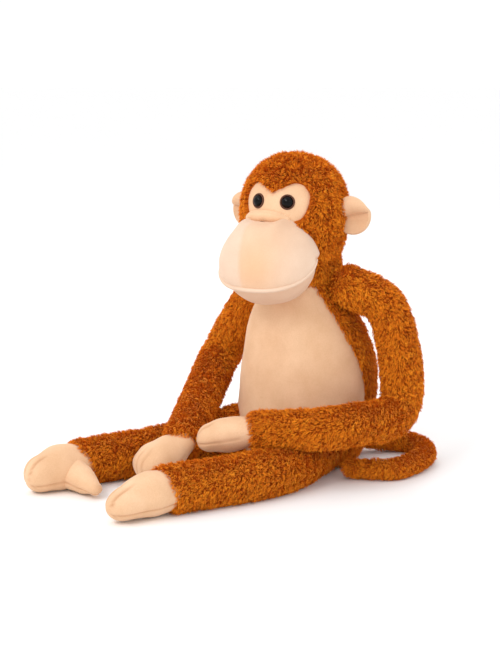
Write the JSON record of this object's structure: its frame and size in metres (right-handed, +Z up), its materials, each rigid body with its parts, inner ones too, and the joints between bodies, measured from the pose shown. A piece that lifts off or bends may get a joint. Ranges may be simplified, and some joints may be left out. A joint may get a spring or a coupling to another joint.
{
  "type": "stuffed monkey",
  "caption": "Long-limbed plush monkey sitting on a flat seat, legs stretched forward, hands between the legs, tail curled beside it; a soft toy with bendable arms, legs, ears and tail.",
  "frame": {"origin": "middle of the flat seat under the torso, on the surface the monkey sits on", "axes": "+Z up; the monkey faces -Y and its own left is +X"},
  "size_m": [0.3536, 0.5252, 0.416],
  "materials": {
    "rust_fur": "long-pile plush, matt with a soft sheen along the hairs",
    "peach_plush": "short smooth velour, matt",
    "filling": "loose polyester fibre, matt",
    "eye_black": "high gloss",
    "rim_felt": "dark brown felt, matt",
    "washer_plastic": "plain moulded plastic"
  },
  "bodies": {
    "torso": {"torso_back_cover": "rust_fur", "belly_panel": "peach_plush", "torso_filling": "filling"},
    "neck": {"neck_cover": "rust_fur", "neck_filling": "filling"},
    "head": {"head_cover": "rust_fur", "face_mask": "peach_plush", "nose_pad": "peach_plush", "muzzle_cover": "peach_plush", "lip_welt": "peach_plush", "chin_panel": "peach_plush", "head_filling": "filling", "muzzle_filling": "filling", "left_eye": "eye_black", "right_eye": "eye_black", "left_eye_rim": "rim_felt", "right_eye_rim": "rim_felt", "left_eye_washer": "washer_plastic", "right_eye_washer": "washer_plastic"},
    "left_ear": {"left_ear_front": "peach_plush", "left_ear_back": "peach_plush"},
    "right_ear": {"right_ear_front": "peach_plush", "right_ear_back": "peach_plush"},
    "left_upper_arm": {"left_upper_arm_cover": "rust_fur", "left_upper_arm_filling": "filling"},
    "left_forearm": {"left_forearm_cover": "rust_fur", "left_forearm_filling": "filling"},
    "left_hand": {"left_hand_cover": "peach_plush", "left_hand_filling": "filling"},
    "left_thigh": {"left_thigh_cover": "rust_fur", "left_thigh_filling": "filling"},
    "left_shin": {"left_shin_cover": "rust_fur", "left_shin_filling": "filling"},
    "left_foot": {"left_foot_top": "peach_plush", "left_foot_sole": "peach_plush", "left_foot_filling": "filling"},
    "right_upper_arm": {"right_upper_arm_cover": "rust_fur", "right_upper_arm_filling": "filling"},
    "right_forearm": {"right_forearm_cover": "rust_fur", "right_forearm_filling": "filling"},
    "right_hand": {"right_hand_cover": "peach_plush", "right_hand_filling": "filling"},
    "right_thigh": {"right_thigh_cover": "rust_fur", "right_thigh_filling": "filling"},
    "right_shin": {"right_shin_cover": "rust_fur", "right_shin_filling": "filling"},
    "right_foot": {"right_foot_top": "peach_plush", "right_foot_sole": "peach_plush", "right_foot_filling": "filling"},
    "tail_base": {"tail_base_cover": "rust_fur", "tail_base_filling": "filling"},
    "tail_middle": {"tail_middle_cover": "rust_fur", "tail_middle_filling": "filling"},
    "tail_tip": {"tail_tip_cover": "rust_fur", "tail_tip_filling": "filling"}
  },
  "joints": [
    {"name": "neck_nod", "type": "hinge", "parent": "torso", "child": "neck", "pos_m": [0, -0.002, 0.262], "axis": [1, 0, 0], "range_deg": [-18, 3]},
    {"name": "head_turn", "type": "hinge", "parent": "neck", "child": "head", "pos_m": [0, -0.002, 0.262], "axis": [0, 0, 1], "range_deg": [-30, 30]},
    {"name": "left_ear_fold", "type": "hinge", "parent": "head", "child": "left_ear", "pos_m": [0.06783, 0.0126, 0.34], "axis": [0, 0, -1], "range_deg": [-15, 20]},
    {"name": "right_ear_fold", "type": "hinge", "parent": "head", "child": "right_ear", "pos_m": [-0.06861, -0.02142, 0.34], "axis": [0, 0, 1], "range_deg": [-15, 20]},
    {"name": "left_shoulder_raise", "type": "hinge", "parent": "torso", "child": "left_upper_arm", "pos_m": [0.07, 0.018, 0.247], "axis": [-1, 0, 0], "range_deg": [0, 60]},
    {"name": "left_elbow_bend", "type": "hinge", "parent": "left_upper_arm", "child": "left_forearm", "pos_m": [0.146, 0.036, 0.092], "axis": [0.9077, -0.4197, 0], "range_deg": [-17, 0]},
    {"name": "left_wrist_bend", "type": "hinge", "parent": "left_forearm", "child": "left_hand", "pos_m": [0.06, -0.15, 0.077], "axis": [-0.606, 0.7954, 0], "range_deg": [0, 25]},
    {"name": "right_shoulder_raise", "type": "hinge", "parent": "torso", "child": "right_upper_arm", "pos_m": [-0.07, 0.018, 0.247], "axis": [-1, 0, 0], "range_deg": [0, 60]},
    {"name": "right_elbow_bend", "type": "hinge", "parent": "right_upper_arm", "child": "right_forearm", "pos_m": [-0.158, -0.004, 0.114], "axis": [0.8346, 0.5508, 0], "range_deg": [-17, 0]},
    {"name": "right_wrist_bend", "type": "hinge", "parent": "right_forearm", "child": "right_hand", "pos_m": [-0.026, -0.204, 0.059], "axis": [-0.9948, -0.102, 0], "range_deg": [0, 25]},
    {"name": "left_hip_spread", "type": "hinge", "parent": "torso", "child": "left_thigh", "pos_m": [0.056, -0.038, 0.028], "axis": [0, 0, 1], "range_deg": [0, 25]},
    {"name": "left_knee_bend", "type": "hinge", "parent": "left_thigh", "child": "left_shin", "pos_m": [0.091, -0.148, 0.028], "axis": [0, 0, 1], "range_deg": [-5, 25]},
    {"name": "left_ankle_bend", "type": "hinge", "parent": "left_shin", "child": "left_foot", "pos_m": [0.061, -0.281, 0.028], "axis": [-0.9887, 0.1498, 0], "range_deg": [-4, 25]},
    {"name": "right_hip_spread", "type": "hinge", "parent": "torso", "child": "right_thigh", "pos_m": [-0.056, -0.038, 0.028], "axis": [0, 0, -1], "range_deg": [0, 25]},
    {"name": "right_knee_bend", "type": "hinge", "parent": "right_thigh", "child": "right_shin", "pos_m": [-0.088, -0.156, 0.028], "axis": [0, 0, -1], "range_deg": [-5, 25]},
    {"name": "right_ankle_bend", "type": "hinge", "parent": "right_shin", "child": "right_foot", "pos_m": [-0.112, -0.28, 0.028], "axis": [-0.9943, 0.1069, 0], "range_deg": [-4, 25]},
    {"name": "tail_root_swing", "type": "hinge", "parent": "torso", "child": "tail_base", "pos_m": [0.03, 0.08, 0.022], "axis": [0, 0, 1], "range_deg": [-8, 10]},
    {"name": "tail_first_bend", "type": "hinge", "parent": "tail_base", "child": "tail_middle", "pos_m": [0.084, 0.132, 0.014], "axis": [0, 0, 1], "range_deg": [0, 20]},
    {"name": "tail_second_bend", "type": "hinge", "parent": "tail_middle", "child": "tail_tip", "pos_m": [0.141, 0.1, 0.014], "axis": [0, 0, 1], "range_deg": [0, 40]}
  ]
}
